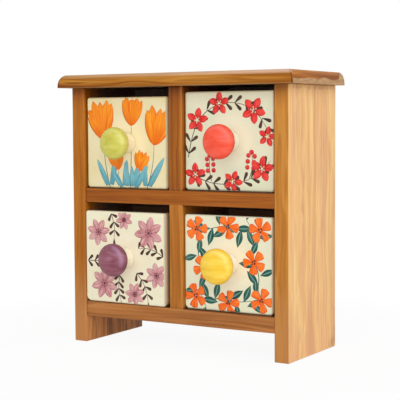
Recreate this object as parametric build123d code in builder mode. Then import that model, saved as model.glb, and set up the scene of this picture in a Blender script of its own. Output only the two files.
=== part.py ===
"""Tabletop chest: a doweled softwood carcass with four sliding glazed ceramic drawers.

Millimetres, +Z up. The front faces -Y, X runs from the left drawers to the right ones,
and the origin is on the floor at the middle of the box that holds the chest and its knobs.
"""

import os
from math import atan2, cos, sin

from build123d import *

# Carcass boards
body_width = 220.0  # across the outer faces of the two sides
side_height = 231.0  # floor to the underside of the top
side_depth = 91.0
side_thickness = 13.5
bottom_shelf_height = 24.0  # floor to the underside of the bottom shelf
bottom_shelf_thickness = 14.0
middle_shelf_thickness = 13.0
divider_thickness = 13.6
rail_setback = 0.7  # shelves and dividers stand back from the sides' front edges
edge_round = 1.2  # eased front edges of the boards

# Top board
top_thickness = 11.5
top_overhang_end = 8.4
top_overhang_front = 10.3
top_round_width = 6.2  # rounded upper edge, seen in section
top_round_height = 9.8

# Back panel, let into rabbets in the sides that stop above the feet
rabbet_depth = 10.0  # from the sides' back edges
rabbet_width = 4.0  # into the sides' thickness
panel_thickness = 4.0
pin_diameter = 1.4
pin_length = 14.0
pin_head_diameter = 2.8
pin_head_thickness = 0.8
pin_end_inset = 12.0  # from the panel's corners to the outermost pins
side_pin_count = 3
shelf_pin_count = 2

# Dowels
dowel_diameter = 6.0
dowel_chamfer = 0.6
dowel_inset = 16.0  # from the shelves' front and back edges
dowel_in_end = 16.0  # depth in a board's end grain
dowel_in_face = 7.5  # depth in a board's face

# Drawers
tray_side_clearance = 1.35
tray_wall = 5.0
tray_front_wall = 6.0
tray_floor = 5.0
tray_edge_radius = 2.2  # upper corners and front and back edges of the outline
tray_inner_radius = 2.4
tray_rim_round = 0.9
closed_recess = 5.5  # front face behind the carcass front when pushed home
drawer_travel = 56.0  # from pushed home to fully open

# How far each drawer stands open at rest, and off the middle of its compartment
upper_left_open = 3.1
upper_right_open = 0.6
lower_left_open = 6.1
lower_right_open = 2.3
upper_left_shift = -0.25
upper_right_shift = -0.9
lower_left_shift = -0.9
lower_right_shift = -0.9

# Space over each drawer, which differs because they are made by hand
upper_left_gap = 9.0
upper_right_gap = 5.4
lower_left_gap = 7.8
lower_right_gap = 7.8

# Lower corners of each drawer's outline, rounded by hand too
upper_left_foot_radius = 3.0
upper_right_foot_radius = 3.6
lower_left_foot_radius = 5.0
lower_right_foot_radius = 4.4

# Knobs, turned by hand and so of slightly different widths, and what holds them
upper_left_knob_diameter = 28.2
upper_right_knob_diameter = 29.4
lower_left_knob_diameter = 29.2
lower_right_knob_diameter = 30.4
upper_right_knob_shift = 1.5  # this knob sits off the middle of its drawer
knob_thickness = 14.6
knob_length = 26.6  # from the drawer's face to the front of the knob
knob_neck_diameter = 13.6
knob_base_diameter = 18.6
knob_base_flare = 6.0  # length over which the neck widens to its base
knob_neck_length = 10.4  # from the drawer's face to where the ball starts
knob_collar_share = 0.3  # part of the ball's underside that is hollowed towards the neck
knob_rim_radius = 5.2  # rounding of the ball's rim, seen in section
stud_diameter = 4.0
stud_in_knob = 18.0
stud_past_nut = 1.6
stud_chamfer = 0.5
washer_diameter = 11.0
washer_thickness = 1.0
nut_across_flats = 7.0
nut_thickness = 3.2

# Clearances
glue_clearance = 0.05  # round dowels, pins and the stud's cemented end
glue_end_gap = 0.5  # at the bottom of a blind hole
thread_clearance = 0.05  # nut on stud
stud_hole_clearance = 0.6  # stud and washer bore, and the drawer's hole
slide_clearance = 0.2  # under a drawer
back_clearance = 0.5  # behind a drawer pushed home
round_margin = 0.3  # keeps a rounding smaller than the corner it runs around

# Heights and widths that follow
half_width = body_width / 2
half_inside = half_width - side_thickness
bottom_shelf_top = bottom_shelf_height + bottom_shelf_thickness
shelf_space = side_height - bottom_shelf_top - middle_shelf_thickness
compartment_height = shelf_space / 2
compartment_width = half_inside - divider_thickness / 2
middle_shelf_height = bottom_shelf_top + compartment_height
middle_shelf_top = middle_shelf_height + middle_shelf_thickness
tray_width = compartment_width - 2 * tray_side_clearance
tray_depth = side_depth - rabbet_depth - closed_recess - back_clearance
column_x = divider_thickness / 2 + compartment_width / 2
hole_diameter = dowel_diameter + 2 * glue_clearance

# Each drawer's middle, the shelf that carries it, how far it stands open, the space over it,
# its lower corners' radius, and its knob's width and distance from the drawer's middle
drawers = {
    "upper_left": (
        upper_left_shift - column_x,
        middle_shelf_top,
        upper_left_open,
        upper_left_gap,
        upper_left_foot_radius,
        upper_left_knob_diameter,
        0.0,
    ),
    "upper_right": (
        upper_right_shift + column_x,
        middle_shelf_top,
        upper_right_open,
        upper_right_gap,
        upper_right_foot_radius,
        upper_right_knob_diameter,
        upper_right_knob_shift,
    ),
    "lower_left": (
        lower_left_shift - column_x,
        bottom_shelf_top,
        lower_left_open,
        lower_left_gap,
        lower_left_foot_radius,
        lower_left_knob_diameter,
        0.0,
    ),
    "lower_right": (
        lower_right_shift + column_x,
        bottom_shelf_top,
        lower_right_open,
        lower_right_gap,
        lower_right_foot_radius,
        lower_right_knob_diameter,
        0.0,
    ),
}

# Depths that follow, with the origin midway between the furthest knob and the back
widest_open = max(upper_left_open, upper_right_open, lower_left_open, lower_right_open)
knob_reach = knob_length + widest_open - closed_recess
front_y = (knob_reach - side_depth) / 2
back_y = front_y + side_depth
shelf_front = front_y + rail_setback
shelf_back = back_y - rabbet_depth
shelf_depth = shelf_back - shelf_front
dowel_rows = (shelf_front + dowel_inset, shelf_back - dowel_inset)

os.makedirs("parts", exist_ok=True)


def save(builder, name):
    """Label a finished piece and write it to its own file."""
    builder.part.label = name
    export_step(builder.part, f"parts/{name}.step")


def drill(plane, points, diameter, depth):
    """Drill blind holes into the part in hand, down from the plane."""
    with Locations(plane):
        with Locations(*points):
            Hole(diameter / 2, depth)


def facing_front(x, y, z):
    """Plane that faces the front, with its own x along X and its own y along Z."""
    return Plane(origin=(x, y, z), x_dir=(1, 0, 0), z_dir=(0, -1, 0))


def spread(low, high, count):
    """Evenly spaced values from low to high, both included."""
    step = (high - low) / (count - 1)
    return [low + step * index for index in range(count)]


# Where the pins go through the back panel, as (x, z)
shoulder_x = half_inside + rabbet_width / 2
panel_low = bottom_shelf_height
panel_high = side_height
side_pin_rows = spread(panel_low + pin_end_inset, panel_high - pin_end_inset, side_pin_count)
shelf_pin_columns = spread(-column_x, column_x, shelf_pin_count)
bottom_shelf_mid = bottom_shelf_height + bottom_shelf_thickness / 2
middle_shelf_mid = middle_shelf_height + middle_shelf_thickness / 2
left_pins = [(-shoulder_x, row) for row in side_pin_rows]
right_pins = [(shoulder_x, row) for row in side_pin_rows]
bottom_pins = [(column, bottom_shelf_mid) for column in shelf_pin_columns]
middle_pins = [(column, middle_shelf_mid) for column in shelf_pin_columns]
all_pins = left_pins + right_pins + bottom_pins + middle_pins
pin_hole_diameter = pin_diameter + 2 * glue_clearance
pin_depth = pin_length - panel_thickness + glue_end_gap


def pin_holes(points):
    """Drill for the back panel's pins, in from a board's back edge."""
    plane = Plane(origin=(0, shelf_back, 0), x_dir=(-1, 0, 0), z_dir=(0, 1, 0))
    drill(plane, [(-x, z) for x, z in points], pin_hole_diameter, pin_depth)


# Top board: the front section carried along X, cut to the end section carried along Y
top_half_length = half_width + top_overhang_end
top_front = front_y - top_overhang_front
top_surface = side_height + top_thickness
top_land = top_surface - top_round_height
end_arc_x = top_half_length - top_round_width
front_arc_y = top_front + top_round_width
with BuildPart() as top_board:
    with BuildSketch(Plane.YZ):
        with BuildLine():
            Polyline((front_arc_y, top_surface), (back_y, top_surface), (back_y, side_height))
            Polyline((back_y, side_height), (top_front, side_height), (top_front, top_land))
            EllipticalCenterArc((front_arc_y, top_land), top_round_width, top_round_height, 90)
        make_face()
    extrude(amount=top_half_length, both=True)
    with BuildSketch(Plane.XZ.offset(-back_y)):
        with BuildLine():
            Polyline((-top_half_length, top_land), (-top_half_length, side_height))
            Line((-top_half_length, side_height), (top_half_length, side_height))
            Line((top_half_length, side_height), (top_half_length, top_land))
            EllipticalCenterArc((end_arc_x, top_land), top_round_width, top_round_height, 0)
            Line((end_arc_x, top_surface), (-end_arc_x, top_surface))
            EllipticalCenterArc((-end_arc_x, top_land), top_round_width, top_round_height, 90)
        make_face()
    extrude(amount=back_y - top_front, mode=Mode.INTERSECT)
    top_dowel_columns = (-half_width + side_thickness / 2, 0, half_width - side_thickness / 2)
    top_dowel_points = [(x, -y) for x in top_dowel_columns for y in dowel_rows]
    underside = Plane(origin=(0, 0, side_height), x_dir=(1, 0, 0), z_dir=(0, 0, -1))
    drill(underside, top_dowel_points, hole_diameter, dowel_in_face + glue_end_gap)
save(top_board, "top_board")


# Sides: full-height boards, rabbeted at the back above the feet and drilled for shelves and top
def side_board(name, hand, pins):
    """One side; hand is -1 for the left and 1 for the right."""
    middle_x = hand * (half_width - side_thickness / 2)
    rabbet_x = hand * (half_inside + rabbet_width / 2)
    with BuildPart() as side:
        with BuildSketch(Plane.XY):
            with Locations((middle_x, front_y + side_depth / 2)):
                Rectangle(side_thickness, side_depth)
        extrude(amount=side_height)
        with BuildSketch(Plane.XY.offset(panel_low)):
            with Locations((rabbet_x, back_y - rabbet_depth / 2)):
                Rectangle(rabbet_width, rabbet_depth)
        extrude(amount=side_height - panel_low, mode=Mode.SUBTRACT)
        fillet(side.edges().filter_by(Axis.Z).group_by(Axis.Y)[0], edge_round)
        inner_face = Plane(origin=(hand * half_inside, 0, 0), x_dir=(0, -hand, 0), z_dir=(-hand, 0, 0))
        shelf_rows = (bottom_shelf_mid, middle_shelf_mid)
        shelf_points = [(-hand * y, z) for z in shelf_rows for y in dowel_rows]
        drill(inner_face, shelf_points, hole_diameter, dowel_in_face + glue_end_gap)
        end_points = [(middle_x, y) for y in dowel_rows]
        drill(Plane.XY.offset(side_height), end_points, hole_diameter, dowel_in_end + glue_end_gap)
        pin_holes(pins)
    save(side, name)


side_board("left_side", -1, left_pins)
side_board("right_side", 1, right_pins)


# Shelves: boards between the sides, in front of the back panel
def shelf_board(name, height, thickness, pins, divider_hole_depth):
    """One shelf, drilled in its ends for the sides and from above for the dividers."""
    with BuildPart() as shelf:
        with BuildSketch(Plane.XY.offset(height)):
            with Locations((0, shelf_front + shelf_depth / 2)):
                Rectangle(2 * half_inside, shelf_depth)
        extrude(amount=thickness)
        fillet(shelf.edges().filter_by(Axis.X).group_by(Axis.Y)[0], edge_round)
        for hand in (-1, 1):
            end = Plane(origin=(hand * half_inside, 0, 0), x_dir=(0, hand, 0), z_dir=(hand, 0, 0))
            end_points = [(hand * y, height + thickness / 2) for y in dowel_rows]
            drill(end, end_points, hole_diameter, dowel_in_end + glue_end_gap)
        divider_points = [(0, y) for y in dowel_rows]
        drill(Plane.XY.offset(height + thickness), divider_points, hole_diameter, divider_hole_depth)
        pin_holes(pins)
    save(shelf, name)


shelf_board(
    "bottom_shelf",
    bottom_shelf_height,
    bottom_shelf_thickness,
    bottom_pins,
    dowel_in_face + glue_end_gap,
)
shelf_board(
    "middle_shelf",
    middle_shelf_height,
    middle_shelf_thickness,
    middle_pins,
    middle_shelf_thickness,
)


# Dividers: short boards between the shelves and under the top
def divider_board(name, height):
    """One divider, drilled at both ends."""
    with BuildPart() as divider:
        with BuildSketch(Plane.XY.offset(height)):
            with Locations((0, shelf_front + shelf_depth / 2)):
                Rectangle(divider_thickness, shelf_depth)
        extrude(amount=compartment_height)
        fillet(divider.edges().filter_by(Axis.Z).group_by(Axis.Y)[0], edge_round)
        upper_end = Plane.XY.offset(height + compartment_height)
        lower_end = Plane(origin=(0, 0, height), x_dir=(1, 0, 0), z_dir=(0, 0, -1))
        hole_depth = dowel_in_end + glue_end_gap
        drill(upper_end, [(0, y) for y in dowel_rows], hole_diameter, hole_depth)
        drill(lower_end, [(0, -y) for y in dowel_rows], hole_diameter, hole_depth)
    save(divider, name)


divider_board("lower_divider", bottom_shelf_top)
divider_board("upper_divider", middle_shelf_top)

# Back panel between the rabbets, from the bottom shelf up to the top
panel_width = 2 * (half_inside + rabbet_width)
panel_back = shelf_back + panel_thickness
with BuildPart() as back_panel:
    with BuildSketch(facing_front(0, panel_back, panel_low)):
        with Locations((0, (panel_high - panel_low) / 2)):
            Rectangle(panel_width, panel_high - panel_low)
        with Locations(*[(x, z - panel_low) for x, z in all_pins]):
            Circle(pin_hole_diameter / 2, mode=Mode.SUBTRACT)
    extrude(amount=panel_thickness)
save(back_panel, "back_panel")

with BuildPart() as back_panel_pins:
    with BuildSketch(facing_front(0, panel_back, 0)):
        with Locations(*all_pins):
            Circle(pin_diameter / 2)
    extrude(amount=pin_length)
    with BuildSketch(facing_front(0, panel_back, 0)):
        with Locations(*all_pins):
            Circle(pin_head_diameter / 2)
    extrude(amount=-pin_head_thickness)
save(back_panel_pins, "back_panel_pins")


# Dowels, grouped by the joint they hold
def dowel_group(name, planes, points, length):
    """Chamfered dowels that start at the planes and run along their normals."""
    with BuildPart() as group:
        with BuildSketch(*planes):
            with Locations(*points):
                Circle(dowel_diameter / 2)
        extrude(amount=length)
        chamfer(group.edges().filter_by(GeomType.CIRCLE), dowel_chamfer)
    save(group, name)


shelf_dowel_planes = (
    Plane.YZ.offset(-half_inside - dowel_in_face),
    Plane.YZ.offset(half_inside - dowel_in_end),
)
joint_length = dowel_in_end + dowel_in_face
divider_dowel_points = [(0, y) for y in dowel_rows]
dowel_group(
    "top_dowels",
    [Plane.XY.offset(side_height - dowel_in_end)],
    [(x, y) for x in top_dowel_columns for y in dowel_rows],
    joint_length,
)
for shelf_name, row in (("middle_shelf", middle_shelf_mid), ("bottom_shelf", bottom_shelf_mid)):
    row_points = [(y, row) for y in dowel_rows]
    dowel_group(f"{shelf_name}_dowels", shelf_dowel_planes, row_points, joint_length)
dowel_group(
    "divider_through_dowels",
    [Plane.XY.offset(middle_shelf_height - dowel_in_end)],
    divider_dowel_points,
    middle_shelf_thickness + 2 * dowel_in_end,
)
dowel_group(
    "lower_divider_dowels",
    [Plane.XY.offset(bottom_shelf_top - dowel_in_face)],
    divider_dowel_points,
    joint_length,
)


# Drawers: open ceramic trays with rounded outer edges and a coved inside
def tray(name, x, face, bottom, height, foot_radius, hole_x):
    """One drawer; face is its front plane, bottom its underside and hole_x the place of its knob's hole."""
    inner_width = tray_width - 2 * tray_wall
    inner_depth = tray_depth - tray_front_wall - tray_wall
    outline_round = tray_edge_radius - round_margin
    with BuildPart() as drawer:
        with BuildSketch(facing_front(x, face, bottom + height / 2)) as outline:
            Rectangle(tray_width, height)
            fillet(outline.vertices().group_by(Axis.Y)[-1], tray_edge_radius)
            fillet(outline.vertices().group_by(Axis.Y)[0], foot_radius)
        extrude(amount=-tray_depth)
        fillet(drawer.faces().sort_by(Axis.Y)[0].edges(), outline_round)
        fillet(drawer.faces().sort_by(Axis.Y)[-1].edges(), outline_round)
        with BuildSketch(Plane.XY.offset(bottom + tray_floor)):
            with Locations((x, face + tray_front_wall + inner_depth / 2)):
                RectangleRounded(inner_width, inner_depth, tray_inner_radius)
        extrude(amount=height, mode=Mode.SUBTRACT)
        inside_floor = drawer.faces().filter_by(Axis.Z).sort_by(Axis.Z)[1]
        fillet(inside_floor.edges(), tray_inner_radius - round_margin)
        rim = drawer.faces().filter_by(Axis.Z).sort_by(Axis.Z)[-1]
        fillet(rim.inner_wires()[0].edges(), tray_rim_round)
        knob_hole = stud_diameter + 2 * stud_hole_clearance
        drill(facing_front(hole_x, face, bottom + height / 2), [(0, 0)], knob_hole, tray_front_wall)
    save(drawer, name)


# Knobs: a flattened ball on a neck that flares out to the drawer's face
def knob(name, x, face, z, diameter):
    """One knob, turned about the line through (x, z) that points to the front."""
    ball_centre = knob_length - knob_thickness / 2
    neck_radius = knob_neck_diameter / 2
    base_radius = knob_base_diameter / 2
    ball_radius = diameter / 2
    half_ball = knob_thickness / 2
    rim_centre = ball_radius - knob_rim_radius
    spare = half_ball - knob_rim_radius
    crown_radius = (rim_centre**2 + half_ball**2 - knob_rim_radius**2) / (2 * spare)
    lean = atan2(rim_centre, crown_radius - half_ball)
    shoulder = (rim_centre + knob_rim_radius * sin(lean), ball_centre + knob_rim_radius * cos(lean))
    collar = (
        neck_radius + knob_collar_share * (ball_radius - neck_radius),
        knob_neck_length + knob_collar_share * (ball_centre - knob_neck_length),
    )
    with BuildPart() as ball:
        with BuildSketch(Plane(origin=(x, face, z), x_dir=(1, 0, 0), z_dir=(0, 0, -1))):
            with BuildLine():
                Polyline((0, knob_length), (0, 0), (base_radius, 0))
                TangentArc((neck_radius, knob_base_flare), (base_radius, 0), tangent=(0, -1))
                Line((neck_radius, knob_base_flare), (neck_radius, knob_neck_length))
                TangentArc((neck_radius, knob_neck_length), collar, tangent=(0, 1))
                TangentArc((ball_radius, ball_centre), collar, tangent=(0, -1))
                TangentArc((ball_radius, ball_centre), shoulder, tangent=(0, 1))
                TangentArc((0, knob_length), shoulder, tangent=(1, 0))
            make_face()
        revolve(axis=Axis((x, face, z), (0, -1, 0)))
        blind = Plane(origin=(x, face, z), x_dir=(1, 0, 0), z_dir=(0, 1, 0))
        drill(blind, [(0, 0)], stud_diameter + 2 * glue_clearance, stud_in_knob + glue_end_gap)
    save(ball, name)


# Knob fixings: a stud cemented into the knob, with a washer and nut inside the drawer
def knob_fixings(name, x, face, z):
    """The stud, washer and nut of one knob."""
    wall_inside = face + tray_front_wall
    nut_seat = wall_inside + washer_thickness
    stud_end = nut_seat + nut_thickness + stud_past_nut
    with BuildPart() as stud:
        with BuildSketch(facing_front(x, stud_end, z)):
            Circle(stud_diameter / 2)
        extrude(amount=stud_end - face + stud_in_knob)
        chamfer(stud.edges().filter_by(GeomType.CIRCLE), stud_chamfer)
    save(stud, f"{name}_knob_stud")
    with BuildPart() as washer:
        with BuildSketch(facing_front(x, nut_seat, z)):
            Circle(washer_diameter / 2)
            Circle(stud_diameter / 2 + stud_hole_clearance, mode=Mode.SUBTRACT)
        extrude(amount=washer_thickness)
    save(washer, f"{name}_knob_washer")
    with BuildPart() as nut:
        with BuildSketch(facing_front(x, nut_seat + nut_thickness, z)):
            RegularPolygon(nut_across_flats / 2, 6, major_radius=False)
            Circle(stud_diameter / 2 + thread_clearance, mode=Mode.SUBTRACT)
        extrude(amount=nut_thickness)
    save(nut, f"{name}_knob_nut")


for drawer_name, values in drawers.items():
    drawer_x, shelf_top, rest_open, gap, foot_radius, ball_diameter, knob_shift = values
    drawer_face = front_y + closed_recess - rest_open
    drawer_bottom = shelf_top + slide_clearance
    drawer_height = compartment_height - gap
    knob_x = drawer_x + knob_shift
    knob_z = drawer_bottom + drawer_height / 2
    tray(
        f"{drawer_name}_drawer",
        drawer_x,
        drawer_face,
        drawer_bottom,
        drawer_height,
        foot_radius,
        knob_x,
    )
    knob(f"{drawer_name}_knob", knob_x, drawer_face, knob_z, ball_diameter)
    knob_fixings(drawer_name, knob_x, drawer_face, knob_z)
    open_left = drawer_travel - rest_open
    print(f"{drawer_name} slides from {-rest_open:.1f} to {open_left:.1f} mm of its place at rest")
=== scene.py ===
"""Finish of the tabletop drawer chest: waxed honey-stained boards, brushed ceramic drawers and knobs."""
import math
from typing import NamedTuple

import bmesh
import bpy
from mathutils import Matrix, Vector, noise


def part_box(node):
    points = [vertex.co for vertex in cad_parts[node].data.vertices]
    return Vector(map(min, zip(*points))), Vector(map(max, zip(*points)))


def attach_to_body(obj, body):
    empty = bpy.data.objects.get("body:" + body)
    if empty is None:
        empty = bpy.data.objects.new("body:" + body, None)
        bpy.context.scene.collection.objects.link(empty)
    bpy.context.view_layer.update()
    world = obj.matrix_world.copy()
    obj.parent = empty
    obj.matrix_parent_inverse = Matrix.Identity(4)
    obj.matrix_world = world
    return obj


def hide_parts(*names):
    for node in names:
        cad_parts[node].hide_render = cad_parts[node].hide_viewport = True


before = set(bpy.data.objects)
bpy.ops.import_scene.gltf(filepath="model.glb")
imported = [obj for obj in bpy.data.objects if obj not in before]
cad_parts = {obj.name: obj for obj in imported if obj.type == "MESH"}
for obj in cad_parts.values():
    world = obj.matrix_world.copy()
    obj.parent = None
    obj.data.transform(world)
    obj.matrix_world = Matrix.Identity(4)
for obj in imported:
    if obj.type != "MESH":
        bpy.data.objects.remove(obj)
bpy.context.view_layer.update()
scene = bpy.context.scene
scene.view_settings.view_transform = "Standard"
MM = 0.001

# Places taken from the frame
front_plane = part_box("left_side")[0].y
side_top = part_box("left_side")[1].z
broad_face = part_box("right_side")[1].x
divider_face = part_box("lower_divider")[1].x
shelf_low, shelf_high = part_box("bottom_shelf")
panel_low, panel_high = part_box("back_panel")
top_low, top_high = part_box("top_board")

# Camera, fitted to the photograph's corners
view_azimuth = math.radians(31.19)
view_pitch = math.radians(3.85)
view_roll = math.radians(-0.33)
view_distance = 1.0775
view_lens = 107.3
view_target = Vector((-0.0051, front_plane + 0.050, 0.1294))


def add_camera():
    """Camera at the photograph's viewing angle."""
    forward = Vector((
        -math.sin(view_azimuth) * math.cos(view_pitch),
        math.cos(view_azimuth) * math.cos(view_pitch),
        -math.sin(view_pitch),
    ))
    level = Vector((math.cos(view_azimuth), math.sin(view_azimuth), 0.0))
    upright = level.cross(forward)
    across = level * math.cos(view_roll) + upright * math.sin(view_roll)
    up = upright * math.cos(view_roll) - level * math.sin(view_roll)
    data = bpy.data.cameras.new("photo_camera")
    data.lens = view_lens
    camera = linked("photo_camera", data)
    place = Matrix((across, up, -forward)).transposed().to_4x4()
    place.translation = view_target - forward * view_distance
    camera.matrix_world = place
    scene.camera = camera


# Objects
def linked(name, data):
    """New object in the scene that holds the given data."""
    made = bpy.data.objects.new(name, data)
    scene.collection.objects.link(made)
    return made


def smooth_piece(name, shape, mesh=None):
    """Smooth-shaded object made from a bmesh, in a new mesh or the given one."""
    for face in shape.faces:
        face.smooth = True
    if mesh is None:
        mesh = bpy.data.meshes.new(name)
    shape.to_mesh(mesh)
    shape.free()
    return linked(name, mesh)


def cut(shape, normal, reach, trim=False):
    """Cut across a shape at a distance along a direction, and trim off what lies beyond if asked."""
    geometry = shape.verts[:] + shape.edges[:] + shape.faces[:]
    bmesh.ops.bisect_plane(shape, geom=geometry, plane_co=normal * reach, plane_no=normal, clear_outer=trim)


def attach(piece, body, replaced=None):
    """Attach a piece to its body, and hide the node that it replaces, if any."""
    if replaced:
        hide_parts(replaced)
    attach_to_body(piece, body)


def dress(node_name, material):
    """Give a carried-over node its finish."""
    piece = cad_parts[node_name]
    piece.data.materials.clear()
    piece.data.materials.append(material)


# Nodes
def plug(tree, socket, value):
    """Link a socket to another, or set its value."""
    if isinstance(value, bpy.types.NodeSocket):
        tree.links.new(value, socket)
    else:
        socket.default_value = value


def node(tree, kind, inputs=None, **settings):
    """New node with its settings, and its inputs set to values or linked to sockets."""
    made = tree.nodes.new(kind)
    for key, value in settings.items():
        setattr(made, key, value)
    for key, value in (inputs or {}).items():
        plug(tree, made.inputs[key], value)
    return made


def srgb(red, green, blue):
    """Linear colour from 0 to 255 display values."""
    def linear(value):
        share = value / 255
        return share / 12.92 if share <= 0.04045 else ((share + 0.055) / 1.055) ** 2.4
    return (linear(red), linear(green), linear(blue), 1.0)


def colours(*shown):
    """Linear colours from several display colours."""
    return tuple(srgb(*colour) for colour in shown)


def ramp(tree, factor, positions, tones):
    """Colour ramp with a tone at each position; returns its colour."""
    made = node(tree, "ShaderNodeValToRGB", {"Fac": factor})
    elements = made.color_ramp.elements
    while len(elements) < len(tones):
        elements.new(0.5)
    for element, position, tone in zip(elements, positions, tones):
        element.position = position
        element.color = tone
    return made.outputs["Color"]


def span(tree, value, start, end, low=0.0, high=1.0, smooth=False):
    """Value that goes from low to high while the given one goes from start to end."""
    values = {"Value": value, "From Min": start, "From Max": end, "To Min": low, "To Max": high}
    kind = "SMOOTHSTEP" if smooth else "LINEAR"
    return node(tree, "ShaderNodeMapRange", values, interpolation_type=kind).outputs["Result"]


def fade(tree, value, start, end, smooth=False):
    """Value that goes from 1 to 0 while the given one goes from start to end."""
    return span(tree, value, start, end, 1.0, 0.0, smooth)


def mix(tree, factor, first, second, blend="MIX"):
    """Colour mix; returns its colour."""
    values = {0: factor, 6: first, 7: second}
    return node(tree, "ShaderNodeMix", values, data_type="RGBA", blend_type=blend).outputs[2]


def maths(tree, operation, first, second=0.0, clamp=False):
    """Maths node; returns its value."""
    made = node(tree, "ShaderNodeMath", {0: first, 1: second}, operation=operation, use_clamp=clamp)
    return made.outputs["Value"]


def product(tree, first, *others):
    """Values multiplied together."""
    for other in others:
        first = maths(tree, "MULTIPLY", first, other)
    return first


def remainder(tree, value):
    """What a value leaves of 1."""
    return maths(tree, "SUBTRACT", 1.0, value)


def vector_length(tree, vector):
    """Length of a vector."""
    return node(tree, "ShaderNodeVectorMath", {0: vector}, operation="LENGTH").outputs["Value"]


def parts(tree, vector):
    """X, Y and Z of a vector."""
    return node(tree, "ShaderNodeSeparateXYZ", {"Vector": vector}).outputs


def object_place(tree):
    """Object coordinates."""
    return node(tree, "ShaderNodeTexCoord").outputs["Object"]


def attribute(tree, name):
    """Value of a mesh's own attribute."""
    return node(tree, "ShaderNodeAttribute", attribute_name=name).outputs["Fac"]


def mapped(tree, vector, location=(0, 0, 0), rotation=(0, 0, 0), scale=(1, 1, 1)):
    """Mapping node; returns its vector."""
    values = {"Vector": vector, "Location": location, "Rotation": rotation, "Scale": scale}
    return node(tree, "ShaderNodeMapping", values).outputs["Vector"]


def cloud(tree, vector, scale=1.0, detail=2.0, roughness=0.5, distortion=0.0, output="Fac"):
    """Noise; returns its value, or its colour where asked."""
    values = {"Vector": vector, "Scale": scale, "Detail": detail, "Roughness": roughness}
    return node(tree, "ShaderNodeTexNoise", {**values, "Distortion": distortion}).outputs[output]


def new_material(name):
    """Empty node material; returns it with its tree and shader."""
    material = bpy.data.materials.new(name)
    material.use_nodes = True
    tree = material.node_tree
    shader = next(item for item in tree.nodes if item.type == "BSDF_PRINCIPLED")
    return material, tree, shader


def coat(tree, shader, colour, roughness, **others):
    """Set or link a shader's colour, roughness and other inputs, named with low lines for spaces."""
    inputs = {"Base_Color": colour, "Roughness": roughness, **others}
    for key, value in inputs.items():
        plug(tree, shader.inputs[key.replace("_", " ")], value)


def bump(tree, height, strength, distance):
    """Normal from a height."""
    values = {"Height": height, "Strength": strength, "Distance": distance}
    return node(tree, "ShaderNodeBump", values).outputs["Normal"]


# Wood tones: light, middle and dark, with a rosy one for the sides' broad faces, whose pale tones are painted
# sheen and light; the dowels take the same pale tones as their plain wood colour
honey = colours((202, 128, 42), (184, 110, 26), (154, 84, 14))
gold = colours((212, 148, 64), (198, 130, 48), (170, 102, 32))
amber = colours((208, 138, 60), (190, 119, 42), (160, 92, 26))
russet = colours((186, 110, 38), (160, 87, 18), (128, 62, 11))
chestnut = colours((196, 124, 46), (167, 96, 26), (128, 64, 14))
tan = colours((206, 140, 80), (175, 110, 53), (132, 76, 34))
walnut = colours((222, 160, 70), (183, 115, 34), (128, 68, 14))
straw_and_sheen = colours((255, 214, 143), (252, 199, 133), (220, 160, 105), (228, 168, 129))
plywood = colours((216, 180, 136), (200, 162, 118), (176, 138, 96))
nosing_tones = colours((128, 68, 4), (172, 98, 8), (214, 144, 30))
end_grain_tones = colours((168, 128, 88), (186, 147, 106), (200, 164, 126))
left_foot_tone = srgb(206, 148, 94)
right_foot_tone = srgb(188, 130, 78)
unlit_inside = srgb(122, 104, 98)
bare_underside = srgb(186, 148, 106)
# Tones of the painted highlight on the top board's upper front edge
left_arris_highlight, right_arris_highlight = colours((210, 170, 92), (222, 188, 176))
mitre_line = srgb(78, 44, 22)

# What stain, wear, painted shade and painted shadow multiply a colour by
blotched = (0.86, 0.78, 0.70)
knot_stain = (0.62, 0.50, 0.42)
smudge_stain = (0.50, 0.42, 0.40)
foot_blush = (0.96, 0.91, 0.98)
raised_grain = (1.45, 1.45, 1.40)
furrow_stain = (0.30, 0.27, 0.27)
top_shade = (0.58, 0.47, 0.47)
corner_shade = (0.55, 0.50, 0.55)
turned_edge_shade = (0.62, 0.54, 0.50)
drawer_shadow = (0.30, 0.24, 0.18)
lower_edge_shade = (0.62, 0.50, 0.36)
panel_inner_darkening = (0.34, 0.38, 0.60)

# Where the boards' finish changes, as the start and end of each change
shaded_heights = (side_top - 22.0 * MM, side_top)
corner_heights = (side_top - 7.0 * MM, side_top - 1.0 * MM)
drip_heights = (side_top - 10.0 * MM, side_top - 3.0 * MM)
smudge_heights = (6.0 * MM, 48.0 * MM)
smudge_depths = (panel_high.y - 26.0 * MM, panel_high.y)
blush_heights = (0.0, 100.0 * MM)
worn_heights = (18.0 * MM, 85.0 * MM)
inner_skin = (shelf_high.x + 0.4 * MM, shelf_high.x + 1.6 * MM)
rough_heights = (panel_low.z, panel_low.z + 4.0 * MM)
rough_depths = (front_plane + 0.5 * MM, front_plane + 1.4 * MM)
unlit_depths = (front_plane + 8.0 * MM, front_plane + 34.0 * MM)
panel_skin = (panel_low.y + 0.6 * MM, panel_low.y + 1.2 * MM)
drawer_shadow_drop = (1.0 * MM, 0.3 * MM)

# Grain, with the scales of its noises along and across it
grain_axes = {"X": 0, "Z": 2}
no_shift = (0.0, 0.0, 0.0)
sway_scales = (13.0, 24.0)
blotch_scales = (14.0, 34.0)
fibre_scales = (16.0, 760.0)
streak_scales = (6.0, 210.0)
drift_scales = (8.0, 80.0)
furrow_scales = (9.0, 190.0)
drip_scales = (200.0, 260.0, 70.0)
plain_sway = 6.0 * MM
broad_sway = 14.0 * MM
knot_bend = 0.14
side_knot = ((front_plane + 26.0 * MM, 129.0 * MM), 8.0 * MM)


def ring_tones(tree, rings, tones):
    """Colours of one growth ring: pale early wood darkening to late wood."""
    light, middle, dark = tones
    return ramp(tree, rings, (0.0, 0.45, 0.88, 1.0), (light, middle, dark, light))


def knot_heart(tree, coords, centre, radius):
    """1 at the heart of a knot and 0 at its rim; the knot is longer along the upright grain."""
    depth, height = centre
    reach = mapped(tree, coords, location=(0.0, -depth, -0.5 * height), scale=(0.0, 1.0, 0.5))
    return fade(tree, vector_length(tree, reach), 0.0, radius, smooth=True)


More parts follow.
